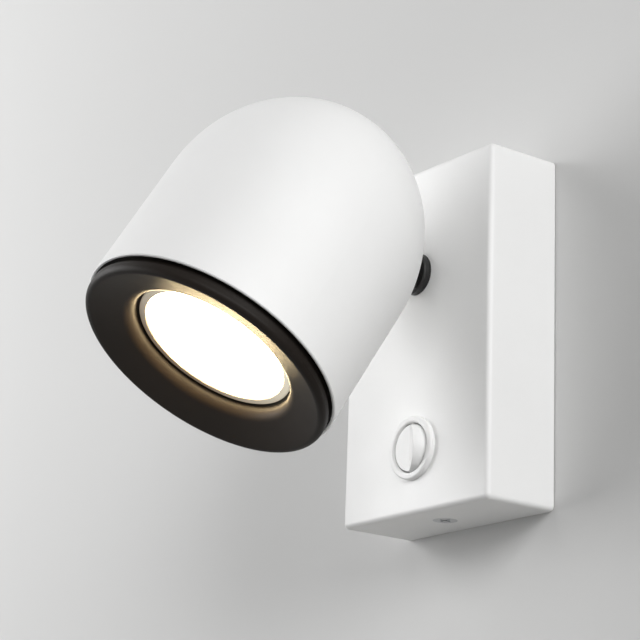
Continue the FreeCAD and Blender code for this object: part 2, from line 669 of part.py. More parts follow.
def switch_rocker():
    """Round button with two sloping faces and flanks that are part of a ball about its pivot."""
    ball = Part.makeSphere(ROCKER_RADIUS, ORIGIN, AXIS_Z, -90, 90, 360)
    reach = 2 * ROCKER_RADIUS
    for side in (-1, 1):
        middle = vec(0, -ROCKER_FACE_HEIGHT - reach / 2, 0)
        front = centred_box(4 * reach, reach, 2 * reach, middle)
        front.rotate(ORIGIN, AXIS_Z, side * ROCKER_SLOPE)
        half = centred_box(reach, 4 * reach, 2 * reach, vec(-side * reach / 2, 0, 0))
        ball = ball.cut(front.common(half))
    back = Part.makeBox(2 * reach, reach, 2 * reach, vec(-reach, ROCKER_BACK, -reach))
    button = ball.cut(back)
    pin_end = SWITCH_BODY_RADIUS - MOVE_GAP
    button = button.fuse(rod(ROCKER_PIN_RADIUS, vec(0, 0, -pin_end), vec(0, 0, pin_end))).removeSplitter()
    button.rotate(ORIGIN, AXIS_Z, -ROCKER_SLOPE)
    button.translate(vec(0, ROCKER_PIVOT_Y, SWITCH_Z))
    return button


def switch_terminals():
    """Two blades that come out of the back of the housing."""
    back = COVER_FRONT_Y + SWITCH_BODY_LENGTH
    blades = []
    for side in (-1, 1):
        middle = vec(0, back + BLADE_LENGTH / 2, SWITCH_Z + side * BLADE_SPACING / 2)
        blade = centred_box(BLADE_WIDTH, BLADE_LENGTH, BLADE_THICKNESS, middle)
        tip_edges = edges_at(blade, AXIS_Y, back + BLADE_LENGTH)
        corners = [edge for edge in tip_edges if abs(edge.CenterOfMass.x) > TOUCH]
        blade = blade.makeChamfer(BLADE_CORNER, corners)
        reach = AXIS_Z * BLADE_THICKNESS
        blades.append(blade.cut(rod(BLADE_EYE, middle - reach, middle + reach)))
    return group(blades)


# ================================================================ turning stem
def stem_bush():
    """Flanged liner in the cover's stem hole."""
    front = COVER_FRONT_Y - BUSH_FLANGE_HEIGHT
    sleeve = rod(BUSH_RADIUS, vec(0, front, STEM_Z), vec(0, COVER_BACK_Y, STEM_Z))
    flange = rod(COLLAR_RADIUS, vec(0, front, STEM_Z), vec(0, COVER_FRONT_Y, STEM_Z))
    bore = rod(BUSH_BORE, vec(0, front - OVER, STEM_Z), vec(0, COVER_BACK_Y + OVER, STEM_Z))
    return sleeve.fuse(flange).cut(bore).removeSplitter()


def stem_friction_washer():
    return tube(WASHER_RADIUS, BUSH_BORE, vec(0, COVER_BACK_Y, STEM_Z), vec(0, FRICTION_WASHER_Y, STEM_Z))


def shank_section(start, end, gap):
    """The keyed shank between two y values, larger all round by a gap."""
    round_part = rod(SHANK_RADIUS + gap, vec(0, start, STEM_Z), vec(0, end, STEM_Z))
    size = 4 * SHANK_RADIUS
    key_x = SHANK_RADIUS - SHANK_KEY + gap
    return round_part.cut(Part.makeBox(size, end - start, size, vec(key_x, start, STEM_Z - size / 2)))


def stem_stop_washer():
    """Keyed washer whose tab meets the cover's stop lug at both ends of the swivel."""
    end = STOP_WASHER_Y + STOP_WASHER_HEIGHT
    ring = rod(STOP_RING_RADIUS, vec(0, STOP_WASHER_Y, STEM_Z), vec(0, end, STEM_Z))
    corner = vec(-STOP_TAB_WIDTH / 2, STOP_WASHER_Y, STEM_Z)
    tab = Part.makeBox(STOP_TAB_WIDTH, STOP_WASHER_HEIGHT, LUG_ORBIT + LUG_RADIUS, corner)
    washer = ring.fuse(tab).cut(shank_section(STOP_WASHER_Y - OVER, end + OVER, CLOSE_GAP))
    return turn_stem(washer.removeSplitter())


def stem_cone_washer():
    """Dished spring washer under the stem nut."""
    inner = BUSH_BORE
    outer = STOP_RING_RADIUS
    section = outline([
        vec(inner, 0, 0),
        vec(outer, 0, CONE_WASHER_RISE),
        vec(outer, 0, CONE_WASHER_RISE + CONE_WASHER_SHEET),
        vec(inner, 0, CONE_WASHER_SHEET),
    ])
    washer = spin(section)
    return aim(washer, vec(0, STEM_NUT_Y, STEM_Z), vec(0, -1, 0))


def stem_nut():
    nut = hex_nut(STEM_NUT_FLATS, BUSH_BORE, STEM_NUT_HEIGHT)
    return turn_stem(aim(nut, vec(0, STEM_NUT_Y, STEM_Z), vec(0, 1, 0)))


def swivel_knuckle():
    """Hollow keyed shank, round collar and flat hinge tongue, turned and milled in one piece."""
    shank = rod(SHANK_RADIUS, vec(0, COLLAR_BACK_Y, STEM_Z), vec(0, STOP_WASHER_Y, STEM_Z))
    shank = shank.fuse(shank_section(STOP_WASHER_Y, SHANK_END_Y, 0))
    collar = rod(COLLAR_RADIUS, vec(0, COLLAR_FRONT_Y, STEM_Z), vec(0, COLLAR_BACK_Y, STEM_Z))
    collar = collar.makeChamfer(COLLAR_CHAMFER, edges_at(collar, AXIS_Y, COLLAR_FRONT_Y))
    tongue = centred_box(TONGUE_THICKNESS, COLLAR_FRONT_Y - PIVOT_Y + COLLAR_CHAMFER, TONGUE_WIDTH,
                         vec(0, (COLLAR_FRONT_Y + PIVOT_Y + COLLAR_CHAMFER) / 2, STEM_Z))
    pivot = vec(0, PIVOT_Y, STEM_Z)
    half = AXIS_X * (TONGUE_THICKNESS / 2)
    nose = rod(TONGUE_WIDTH / 2, pivot - half, pivot + half)
    knuckle = shank.fuse(collar).fuse(tongue).fuse(nose)
    knuckle = knuckle.cut(rod(HINGE_RADIUS + CLOSE_GAP, pivot - half * 2, pivot + half * 2))
    wire_turn = vec(0, (COLLAR_FRONT_Y + PIVOT_Y) / 2, STEM_Z)
    wire_bore = rod(WIRE_BORE_RADIUS, vec(0, SHANK_END_Y + OVER, STEM_Z), wire_turn)
    wire_exit = rod(WIRE_BORE_RADIUS, wire_turn, wire_turn + AXIS_Z * TONGUE_WIDTH)
    bend = Part.makeSphere(WIRE_BORE_RADIUS, wire_turn)
    return turn_stem(knuckle.cut(wire_bore.fuse(wire_exit).fuse(bend)).removeSplitter())


# ================================================================ hinge in the head
def hinge_line(radius, x_from, x_to):
    """Rod on the hinge axis, in the head's frame."""
    return rod(radius, vec(x_from, PIVOT_OFFSET, PIVOT_BACK), vec(x_to, PIVOT_OFFSET, PIVOT_BACK))


def hinge_washers():
    washers = []
    for side in (-1, 1):
        near = side * (EAR_INNER_X - HINGE_WASHER_HEIGHT)
        far = side * EAR_INNER_X
        bore = hinge_line(HINGE_RADIUS + CLOSE_GAP, near, far)
        washers.append(place_head(hinge_line(HINGE_WASHER_RADIUS, near, far).cut(bore)))
    return group(washers)


def hinge_bolt():
    """Bolt through both ears and the tongue, with a hexagonal key socket."""
    seat = EAR_INNER_X + SHEET
    tail = seat + HINGE_NUT_HEIGHT + CLOSE_GAP
    head = hinge_line(HINGE_HEAD_RADIUS, seat, seat + HINGE_HEAD_HEIGHT)
    top = seat + HINGE_HEAD_HEIGHT
    head = head.makeFillet(HINGE_HEAD_ROUND, edges_at(head, AXIS_X, top))
    socket = hexagon(HINGE_KEY_FLATS, HINGE_HEAD_HEIGHT)
    socket = aim(socket, vec(top - HINGE_KEY_DEPTH, PIVOT_OFFSET, PIVOT_BACK), AXIS_X)
    bolt = head.fuse(hinge_line(HINGE_RADIUS, -tail, seat)).cut(socket)
    return place_head(bolt.removeSplitter())


def hinge_nut():
    seat = EAR_INNER_X + SHEET
    nut = hex_nut(HINGE_NUT_FLATS, HINGE_RADIUS + CLOSE_GAP, HINGE_NUT_HEIGHT)
    return place_head(aim(nut, vec(-seat, PIVOT_OFFSET, PIVOT_BACK), vec(-1, 0, 0)))


def ear(side):
    """Side wall of the clevis, round about the hinge and joined to the plate above."""
    x = side * EAR_INNER_X
    slant = EAR_ROUND * math.sqrt(0.5)
    inner_top = vec(x, EAR_START, BOSS_Z)
    inner_low = vec(x, EAR_START, BRACE_Z - SHEET)
    outer_top = vec(x, PIVOT_OFFSET + EAR_ROUND, BOSS_Z)
    round_start = vec(x, PIVOT_OFFSET + EAR_ROUND, PIVOT_BACK)
    round_middle = vec(x, PIVOT_OFFSET + slant, PIVOT_BACK - slant)
    round_end = vec(x, PIVOT_OFFSET, PIVOT_BACK - EAR_ROUND)
    edges = [
        line(inner_top, outer_top),
        line(outer_top, round_start),
        arc(round_start, round_middle, round_end),
        line(round_end, inner_low),
        line(inner_low, inner_top),
    ]
    return face_of(edges).extrude(vec(side * SHEET, 0, 0))


def boss_places():
    return [vec(-BOSS_X, 0, BOSS_Z), vec(BOSS_X, 0, BOSS_Z)]


def holder_screw_places():
    return [vec(0, side * HOLDER_SCREW_SPACING / 2, 0) for side in (-1, 1)]


def head_bracket():
    """Folded clevis: a plate across the dome and two ears that straddle the tongue."""
    start = vec(-BRACE_HALF_WIDTH, -BRACE_FRONT, BRACE_Z)
    plate = rounded_plate(start, AXIS_X * (2 * BRACE_HALF_WIDTH), AXIS_Y * (BRACE_FRONT + BRACE_BACK),
                          AXIS_Z * SHEET, BRACE_CORNER)
    plate = plate.common(rod(dome_bore(BOSS_Z) - MOVE_GAP, vec(0, 0, BRACE_Z), vec(0, 0, BOSS_Z)))
    bracket = plate.fuse(ear(-1)).fuse(ear(1))
    bracket = bracket.cut(hinge_line(HINGE_RADIUS + CLOSE_GAP, -BRACE_HALF_WIDTH, BRACE_HALF_WIDTH))
    screw_places = boss_places() + holder_screw_places()
    holes = [(place, M3_RADIUS + CLOSE_GAP) for place in screw_places] + [(ORIGIN, BRACE_WIRE_HOLE)]
    for place, radius in holes:
        low = vec(place.x, place.y, BRACE_Z - OVER)
        bracket = bracket.cut(rod(radius, low, vec(place.x, place.y, BOSS_Z + OVER)))
    return place_head(bracket.removeSplitter())


def bracket_screws():
    """Screws up through the bracket plate into the shell's two bosses."""
    screws = []
    for place in boss_places():
        screw = pan_screw(M3_RADIUS, M3_HEAD_RADIUS, M3_HEAD_HEIGHT, SHEET + BOSS_HOLE_DEPTH - THREAD_ROOM)
        screws.append(place_head(aim(screw, vec(place.x, place.y, BRACE_Z), vec(0, 0, -1))))
    return group(screws)


# ================================================================ head shell
def domed_solid(radius, straight, dome_height, start):
    """Cylinder from z = start that runs into an elliptical dome."""
    top = straight + dome_height
    quarter = Part.BezierCurve()
    quarter.setPoles([vec(radius, 0, straight), vec(radius, 0, top), vec(0, 0, top)])
    quarter.setWeight(2, math.sqrt(0.5))
    edges = [
        line(vec(0, 0, start), vec(radius, 0, start)),
        line(vec(radius, 0, start), vec(radius, 0, straight)),
        quarter.toShape(),
        line(vec(0, 0, top), vec(0, 0, start)),
    ]
    return spin(face_of(edges))


def tongue_way(tilt):
    """Direction from the hinge to the wall, in the head's frame, at a tilt in degrees."""
    turn = math.radians(tilt)
    return vec(0, math.sin(turn), math.cos(turn))


def tilt_slot():
    """Room in the shell that the tongue sweeps between the two ends of the tilt."""
    reach = 2 * DOME_HEIGHT
    room = TONGUE_WIDTH / 2 + SLOT_END_GAP
    pivot = vec(0, PIVOT_OFFSET, PIVOT_BACK)
    upper = tongue_way(TILT_MIN)
    lower = tongue_way(TILT_MAX)
    upper_side = vec(0, -upper.z, upper.y) * room
    lower_side = vec(0, lower.z, -lower.y) * room
    between = tongue_way((TILT_MIN + TILT_MAX) / 2)
    section = outline([
        pivot + upper_side,
        pivot + upper_side + upper * reach,
        pivot + between * (2 * reach),
        pivot + lower_side + lower * reach,
        pivot + lower_side,
    ])
    half = TONGUE_THICKNESS / 2 + SLOT_SIDE_GAP
    section.translate(vec(-half, 0, 0))
    return section.extrude(vec(2 * half, 0, 0))


def rim_cutter():
    """Takes the sharp outer corner off the rim."""
    ring = outline([
        vec(HEAD_RADIUS - RIM_CHAMFER, 0, 0),
        vec(HEAD_RADIUS + OVER, 0, -OVER),
        vec(HEAD_RADIUS + OVER, 0, RIM_CHAMFER + OVER),
        vec(HEAD_RADIUS, 0, RIM_CHAMFER),
    ])
    return spin(ring)


def head_shell():
    """Thin cast shell with a stepped mouth, the tilt slot and two screw bosses inside."""
    outer = domed_solid(HEAD_RADIUS, HEAD_STRAIGHT, DOME_HEIGHT, 0)
    inner = domed_solid(SHELL_BORE, HEAD_STRAIGHT, DOME_HEIGHT - SHELL_WALL, -OVER)
    shell = outer.cut(inner).cut(rod(MOUTH_RADIUS, vec(0, 0, -OVER), vec(0, 0, MOUTH_DEPTH)))
    top = vec(0, 0, HEAD_STRAIGHT + DOME_HEIGHT)
    for place in boss_places():
        boss = rod(BOSS_RADIUS, place, place + top).common(outer)
        hole = rod(M3_RADIUS + CLOSE_GAP, place - AXIS_Z * OVER, place + AXIS_Z * BOSS_HOLE_DEPTH)
        shell = shell.fuse(boss).cut(hole)
    shell = shell.cut(tilt_slot()).cut(rim_cutter())
    return place_head(shell.removeSplitter())


# ================================================================ front ring
def dish_z(radius):
    """Height of the dished face at a radius, in the head's frame."""
    slope = math.tan(math.radians(DISH_ANGLE))
    edge_r, edge_z = dish_edge()
    return edge_z + (edge_r - radius) * slope


def dish_edge():
    """Where the rounded shoulder runs into the dished face."""
    turn = math.radians(DISH_ANGLE)
    edge_r = RING_EDGE_RADIUS - RING_SHOULDER * (1 + math.sin(turn))
    edge_z = -RING_STAND + RING_SHOULDER * (1 - math.cos(turn))
    return edge_r, edge_z


def front_ring():
    """Black ring: skirt in the mouth, shadow groove, rounded edge, dished face, lip and sleeve."""
    turn = math.radians(DISH_ANGLE)
    edge_r, edge_z = dish_edge()
    shoulder_z = RING_SHOULDER - RING_STAND
    shoulder_mid_r = RING_EDGE_RADIUS - RING_SHOULDER * (1 - math.sqrt(0.5))
    shoulder_mid_z = shoulder_z - RING_SHOULDER * math.sqrt(0.5)
    lip_r = RING_OPENING + LIP_ROUND * (1 - math.sin(turn))
    lip_z = dish_z(lip_r)
    lip_centre_r = RING_OPENING + LIP_ROUND
    lip_centre_z = lip_z + LIP_ROUND * math.cos(turn)
    middle = (math.pi / 2 + turn) / 2
    lip_mid_r = lip_centre_r - LIP_ROUND * math.sin(middle)
    lip_mid_z = lip_centre_z - LIP_ROUND * math.cos(middle)
    sleeve_r = RING_OPENING + RING_WALL
    groove_r = RING_RADIUS - GROOVE_DEPTH
    neck_r = groove_r - RING_WALL
    skirt_r = RING_RADIUS - RING_WALL
    neck_end = GROOVE_SINK + RING_WALL
    back = RING_WALL / math.cos(turn)
    edge_start = vec(RING_EDGE_RADIUS, 0, shoulder_z)
    edge_middle = vec(shoulder_mid_r, 0, shoulder_mid_z)
    edge_end = vec(edge_r, 0, edge_z)
    lip_start = vec(lip_r, 0, lip_z)
    lip_middle = vec(lip_mid_r, 0, lip_mid_z)
    lip_end = vec(RING_OPENING, 0, lip_centre_z)
    corners = [
        lip_end,
        vec(RING_OPENING, 0, RING_SLEEVE),
        vec(sleeve_r, 0, RING_SLEEVE),
        vec(sleeve_r, 0, lip_centre_z),
        vec(lip_centre_r, 0, dish_z(lip_centre_r) + back),
        vec(neck_r, 0, dish_z(neck_r) + back),
        vec(neck_r, 0, neck_end),
        vec(skirt_r, 0, neck_end),
        vec(skirt_r, 0, RING_SKIRT),
        vec(RING_RADIUS, 0, RING_SKIRT),
        vec(RING_RADIUS, 0, GROOVE_SINK),
        vec(groove_r, 0, GROOVE_SINK),
        vec(groove_r, 0, -GROOVE_WIDTH),
        vec(RING_EDGE_RADIUS, 0, -GROOVE_WIDTH),
        edge_start,
    ]
    edges = [line(start, end) for start, end in zip(corners, corners[1:])]
    edges += [
        arc(edge_start, edge_middle, edge_end),
        line(edge_end, lip_start),
        arc(lip_start, lip_middle, lip_end),
    ]
    return place_head(spin(face_of(edges)))


def ring_clips():
    """Leaf springs on the inside of the skirt that press on the shell's bore behind it."""
    leaf = RING_RADIUS - RING_WALL
    crest = SHELL_BORE - CLOSE_GAP
    start = RING_SKIRT - CLIP_GRIP
    straight = MOUTH_DEPTH + CLIP_LEAD
    crest_z = RING_SKIRT + CLIP_REACH / 2
    tip_z = RING_SKIRT + CLIP_REACH
    outer = [(leaf, start), (leaf, straight), (crest, crest_z), (crest - 2 * CLIP_SHEET, tip_z)]
    points = [vec(r, 0, z) for r, z in outer]
    points += [vec(r - CLIP_SHEET, 0, z) for r, z in reversed(outer)]
    clips = []
    for k in range(CLIP_COUNT):
        clip = outline(points).revolve(ORIGIN, AXIS_Z, CLIP_SPAN)
        clip.rotate(ORIGIN, AXIS_Z, 90 + k * 360 / CLIP_COUNT - CLIP_SPAN / 2)
        clips.append(place_head(clip))
    return group(clips)


# ================================================================ lamp and holder
def lamp_bezel():
    """Round front edge of the lamp."""
    back = LAMP_SINK + BEZEL_DEPTH
    bezel = tube(LAMP_RADIUS, LAMP_RADIUS - BEZEL_WIDTH, vec(0, 0, LAMP_SINK), vec(0, 0, back))
    return place_head(bezel.makeFillet(BEZEL_ROUND, edges_at(bezel, AXIS_Z, LAMP_SINK)))


def lamp_diffuser():
    front = LAMP_SINK + DIFFUSER_SINK
    return place_head(rod(LAMP_CUP_RADIUS, vec(0, 0, front), vec(0, 0, front + DIFFUSER_THICKNESS)))


def lamp_body():
    """Reflector-shaped body: a hollow cup behind the diffuser, a curved flank and the base."""
    seat_z = LAMP_SINK + DIFFUSER_SINK + DIFFUSER_THICKNESS
    start_z = LAMP_SINK + BEZEL_DEPTH
    base_z = LAMP_END - LAMP_BASE_LENGTH
    neck_z = base_z - LAMP_NECK_LENGTH
    cup_bottom = vec(0, 0, base_z)
    cup_neck = vec(LAMP_NECK_RADIUS - LAMP_WALL, 0, neck_z)
    cup_mouth = vec(LAMP_CUP_RADIUS - LAMP_WALL, 0, seat_z)
    seat_edge = vec(LAMP_CUP_RADIUS, 0, seat_z)
    seat_foot = vec(LAMP_CUP_RADIUS, 0, start_z)
    flank_start = vec(LAMP_RADIUS, 0, start_z)
    flank_end = vec(LAMP_NECK_RADIUS, 0, neck_z)
    flank_middle = (flank_start + flank_end) / 2 + AXIS_X * LAMP_SWELL
    neck_end = vec(LAMP_NECK_RADIUS, 0, base_z)
    base_start = vec(LAMP_BASE_RADIUS, 0, base_z)
    base_end = vec(LAMP_BASE_RADIUS, 0, LAMP_END)
    middle_end = vec(0, 0, LAMP_END)
    edges = [
        line(cup_bottom, cup_neck),
        line(cup_neck, cup_mouth),
        line(cup_mouth, seat_edge),
        line(seat_edge, seat_foot),
        line(seat_foot, flank_start),
        arc(flank_start, flank_middle, flank_end),
        line(flank_end, neck_end),
        line(neck_end, base_start),
        line(base_start, base_end),
        line(base_end, middle_end),
        line(middle_end, cup_bottom),
    ]
    return place_head(spin(face_of(edges)))


def lamp_pins():
    """Two headed pins on the lamp's base."""
    pins = []
    tip = LAMP_END + PIN_LENGTH
    for side in (-1, 1):
        x = side * PIN_SPACING / 2
        neck = rod(PIN_NECK_RADIUS, vec(x, 0, LAMP_END), vec(x, 0, tip))
        head = rod(PIN_HEAD_RADIUS, vec(x, 0, tip - PIN_HEAD_LENGTH), vec(x, 0, tip))
        head = head.makeFillet(PIN_HEAD_ROUND, edges_at(head, AXIS_Z, tip))
        pins.append(place_head(neck.fuse(head).removeSplitter()))
    return group(pins)


def twisted(place, share=1):
    """Where a place on the lamp stands before it is twisted home, or part of the way."""
    return FreeCAD.Rotation(AXIS_Z, -TWIST_ANGLE * share).multVec(place)


def pin_groove(radius, low, high):
    """Kidney-shaped way of one pin while the lamp is twisted."""
    orbit = PIN_SPACING / 2
    inner = vec(orbit - radius, 0, low)
    outer = vec(orbit + radius, 0, low)
    edges = [
        arc(outer, twisted(outer, 0.5), twisted(outer)),
        arc(twisted(outer), twisted(vec(orbit, -radius, low)), twisted(inner)),
        arc(twisted(inner), twisted(inner, 0.5), inner),
        arc(inner, vec(orbit, radius, low), outer),
    ]
    return face_of(edges).extrude(AXIS_Z * (high - low))


def lamp_holder():
    """Ceramic twist-lock socket: two curved keyhole grooves with chambers for the pin heads."""
    end = HOLDER_Z + HOLDER_LENGTH
    below = HOLDER_Z - OVER
    holder = rod(HOLDER_RADIUS, vec(0, 0, HOLDER_Z), vec(0, 0, end))
    holder = holder.makeChamfer(HOLDER_CHAMFER, edges_at(holder, AXIS_Z, HOLDER_Z))
    chamber_start = HOLDER_Z + HOLDER_FACE
    entry = twisted(vec(PIN_SPACING / 2, 0, below))
    ways = [
        pin_groove(PIN_NECK_RADIUS + PIN_GAP, below, chamber_start),
        pin_groove(PIN_HEAD_RADIUS + CHAMBER_GAP, chamber_start, LAMP_END + PIN_LENGTH + CHAMBER_GAP),
        rod(PIN_HEAD_RADIUS + PIN_GAP, entry, entry + AXIS_Z * (chamber_start - below)),
    ]
    for way in ways:
        holder = holder.cut(way)
        way.rotate(ORIGIN, AXIS_Z, 180)
        holder = holder.cut(way)
    for place in holder_screw_places():
        low = vec(place.x, place.y, below)
        holder = holder.cut(rod(M3_RADIUS + CLOSE_GAP, low, vec(place.x, place.y, end + OVER)))
        holder = holder.cut(rod(M3_HEAD_RADIUS + MOVE_GAP, low, vec(place.x, place.y, HOLDER_SCREW_SEAT)))
    return place_head(holder.removeSplitter())


def holder_screws():
    """Screws through the holder into the bracket plate."""
    screws = []
    length = BOSS_Z - HOLDER_SCREW_SEAT + THREAD_ROOM
    for place in holder_screw_places():
        screw = pan_screw(M3_RADIUS, M3_HEAD_RADIUS, M3_HEAD_HEIGHT, length)
        screws.append(place_head(aim(screw, vec(place.x, place.y, HOLDER_SCREW_SEAT), -AXIS_Z)))
    return group(screws)


# ================================================================ write the pieces
PIECES = [
    base_cover, cover_screws, wall_bracket, cable_grommet, terminal_block, terminal_sleeves, terminal_screws,
    block_screw, earth_washer, earth_screw, switch_housing, switch_rocker, switch_terminals, stem_bush,
    stem_friction_washer, stem_stop_washer, stem_cone_washer, stem_nut, swivel_knuckle, hinge_washers,
    hinge_bolt, hinge_nut, head_bracket, bracket_screws, head_shell, front_ring, ring_clips, lamp_holder,
    holder_screws, lamp_bezel, lamp_diffuser, lamp_body, lamp_pins,
]

os.makedirs("parts", exist_ok=True)
for piece in PIECES:
    piece().exportStep("parts/" + piece.__name__ + ".step")
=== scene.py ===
import bpy
import json
import math
from collections import namedtuple
from mathutils import Matrix, Vector


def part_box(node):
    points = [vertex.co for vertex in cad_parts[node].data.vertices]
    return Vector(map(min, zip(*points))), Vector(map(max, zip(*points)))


# Looks, light and camera for the wall spotlight. Metres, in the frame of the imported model:
# the base's back is the plane y = 0, the light stands out towards -Y, and +Z is up.

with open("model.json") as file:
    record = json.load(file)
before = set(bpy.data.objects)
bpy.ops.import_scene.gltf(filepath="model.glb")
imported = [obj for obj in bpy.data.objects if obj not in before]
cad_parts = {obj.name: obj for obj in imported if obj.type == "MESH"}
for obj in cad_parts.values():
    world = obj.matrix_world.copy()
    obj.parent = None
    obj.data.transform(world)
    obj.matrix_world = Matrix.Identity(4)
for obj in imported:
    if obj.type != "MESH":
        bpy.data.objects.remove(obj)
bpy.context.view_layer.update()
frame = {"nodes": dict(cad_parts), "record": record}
NODES = frame["nodes"]

# Camera, as measured on the photograph. ORIGIN_PX is where the middle of the base's back lies, in
# pixels, and ORIGIN_DEPTH is how far away it is along the view.
FOCAL_PX = 2192.12
FRAME_PX = 640
SENSOR_MM = 36.0
AZIMUTH = math.radians(53.331)
ELEVATION = math.radians(-16.633)
ROLL = math.radians(2.056)
ORIGIN_PX = (479.912, 354.424)
ORIGIN_DEPTH = 0.6884

# Finishes of the object: linear colour, the share by which it drifts either way, least and greatest
# roughness, blotches of grain per metre, and the grain's depth.
Finish = namedtuple("Finish", "colour spread rough grain depth")
WHITE_COAT = Finish((0.84, 0.84, 0.835), spread=0.012, rough=(0.42, 0.55), grain=2600.0, depth=0.00002)
BLACK_COAT = Finish((0.0105, 0.0078, 0.006), spread=0.15, rough=(0.45, 0.53), grain=2400.0, depth=0.00003)
BLACK_STEEL = Finish((0.01, 0.01, 0.01), spread=0.2, rough=(0.3, 0.45), grain=1500.0, depth=0.00001)
ZINC = Finish((0.62, 0.63, 0.64), spread=0.06, rough=(0.28, 0.42), grain=1800.0, depth=0.00001)
SPRING_STEEL = Finish((0.42, 0.42, 0.43), spread=0.08, rough=(0.22, 0.36), grain=1800.0, depth=0.00001)
BRASS = Finish((0.76, 0.58, 0.28), spread=0.08, rough=(0.25, 0.38), grain=1800.0, depth=0.00001)
WHITE_NYLON = Finish((0.8, 0.8, 0.78), spread=0.02, rough=(0.5, 0.62), grain=2000.0, depth=0.00001)
PLAIN_NYLON = Finish((0.72, 0.69, 0.6), spread=0.03, rough=(0.45, 0.6), grain=2000.0, depth=0.00001)
BLACK_NYLON = Finish((0.012, 0.012, 0.012), spread=0.15, rough=(0.45, 0.6), grain=2000.0, depth=0.00001)
SWITCH_WHITE = Finish((0.83, 0.83, 0.825), spread=0.008, rough=(0.38, 0.46), grain=1200.0, depth=0.000005)
RUBBER = Finish((0.018, 0.018, 0.018), spread=0.2, rough=(0.6, 0.75), grain=2200.0, depth=0.00002)
CERAMIC = Finish((0.82, 0.8, 0.74), spread=0.03, rough=(0.55, 0.7), grain=2600.0, depth=0.00002)
LAMP_CREAM = Finish((0.56, 0.48, 0.37), spread=0.02, rough=(0.28, 0.4), grain=1500.0, depth=0.000008)

# Specular level of the two finishes where it is lower than the shader's own.
BLACK_GLOSS = 0.13
SWITCH_GLOSS = 0.25

# Blotches per metre of the slow drift of colour and of the finer drift of gloss.
DRIFT_SCALE = 35.0
GLOSS_SCALE = 160.0

# Finer layers in the noise of the drift and of the grain, and how strong the grain's are.
DRIFT_DETAIL = 4.0
GRAIN_DETAIL = 2.0
GRAIN_ROUGHNESS = 0.6

# Most of a noise lies between these two.
NOISE_LOW = 0.3
NOISE_HIGH = 0.7

# How many times finer the noise is along X, Y and Z: alike, or in thin lines as turning leaves them.
EVEN = (1, 1, 1)
TURNED = (1, 1, 14)

# Opal disc of the lamp, and the light that it gives off.
OPAL_DARK = (0.9, 0.88, 0.82)
OPAL_LIGHT = (0.95, 0.93, 0.88)
OPAL_SCALE = 900.0
OPAL_ROUGHNESS = 0.35
DIFFUSER_GLOW = 45.0
DIFFUSER_LIGHT = (1.0, 0.78, 0.45)

# Painted light and shade on the lamp's bezel, given as a glow though the bezel is no lamp: painted shade at
# the left X, going to painted light at the right X, both along X.
BEZEL_PAINTED_GLOW = 0.6
BEZEL_PAINTED_SHADE = (0.1, 0.06, 0.035)
BEZEL_PAINTED_LIGHT = (1.0, 0.93, 0.74)
BEZEL_SHADED_X = -0.024
BEZEL_LIT_X = 0.02

# Stage. The wall lies just behind the base's back, and its opening is just smaller than the base.
WALL_PAINT = (0.68, 0.68, 0.675)
FLOOR_PAINT = (0.7, 0.7, 0.69)
STAGE_DRIFT = 0.015
STAGE_SCALE = 3.0
STAGE_ROUGHNESS = 0.9
WALL_Y = 0.0004
FLOOR_Z = -2.0
WALL_HALF = 1.2
WALL_TOP = 3.0
FLOOR_HALF = 3.0
OPENING_EDGE = 0.0008

# Surroundings: brightness below and above, which blend from SKY_TURN under the horizon to as far over it.
# The camera, and what mirrors on the object, see a paler sky and floor than those that light it.
SKY_BELOW = 0.02
SKY_ABOVE = 0.1
SKY_TURN = 0.4
SKY_SEEN = 0.6
FLOOR_SEEN = 0.5

# Where every lamp points, just in front of the middle of the base.
LIGHT_AIM = (0, -0.03, 0)


def place_camera():
    """Camera that sees the middle of the base's back at ORIGIN_PX, at ORIGIN_DEPTH."""
    flat = math.cos(ELEVATION)
    back = Vector((math.sin(AZIMUTH) * flat, -math.cos(AZIMUTH) * flat, math.sin(ELEVATION)))
    level = (-back).cross(Vector((0, 0, 1))).normalized()
    upright = level.cross(-back)
    right = level * math.cos(ROLL) + upright * math.sin(ROLL)
    up = upright * math.cos(ROLL) - level * math.sin(ROLL)
    across = (ORIGIN_PX[0] - FRAME_PX / 2) / FOCAL_PX * ORIGIN_DEPTH
    down = (ORIGIN_PX[1] - FRAME_PX / 2) / FOCAL_PX * ORIGIN_DEPTH
    data = bpy.data.cameras.new("photo_camera")
    data.sensor_width = SENSOR_MM
    data.lens = FOCAL_PX * SENSOR_MM / FRAME_PX
    camera = bpy.data.objects.new("photo_camera", data)
    bpy.context.scene.collection.objects.link(camera)
    place = back * ORIGIN_DEPTH - right * across + up * down
    turn = Matrix((right, up, back)).transposed()
    camera.matrix_world = Matrix.Translation(place) @ turn.to_4x4()
    bpy.context.scene.camera = camera


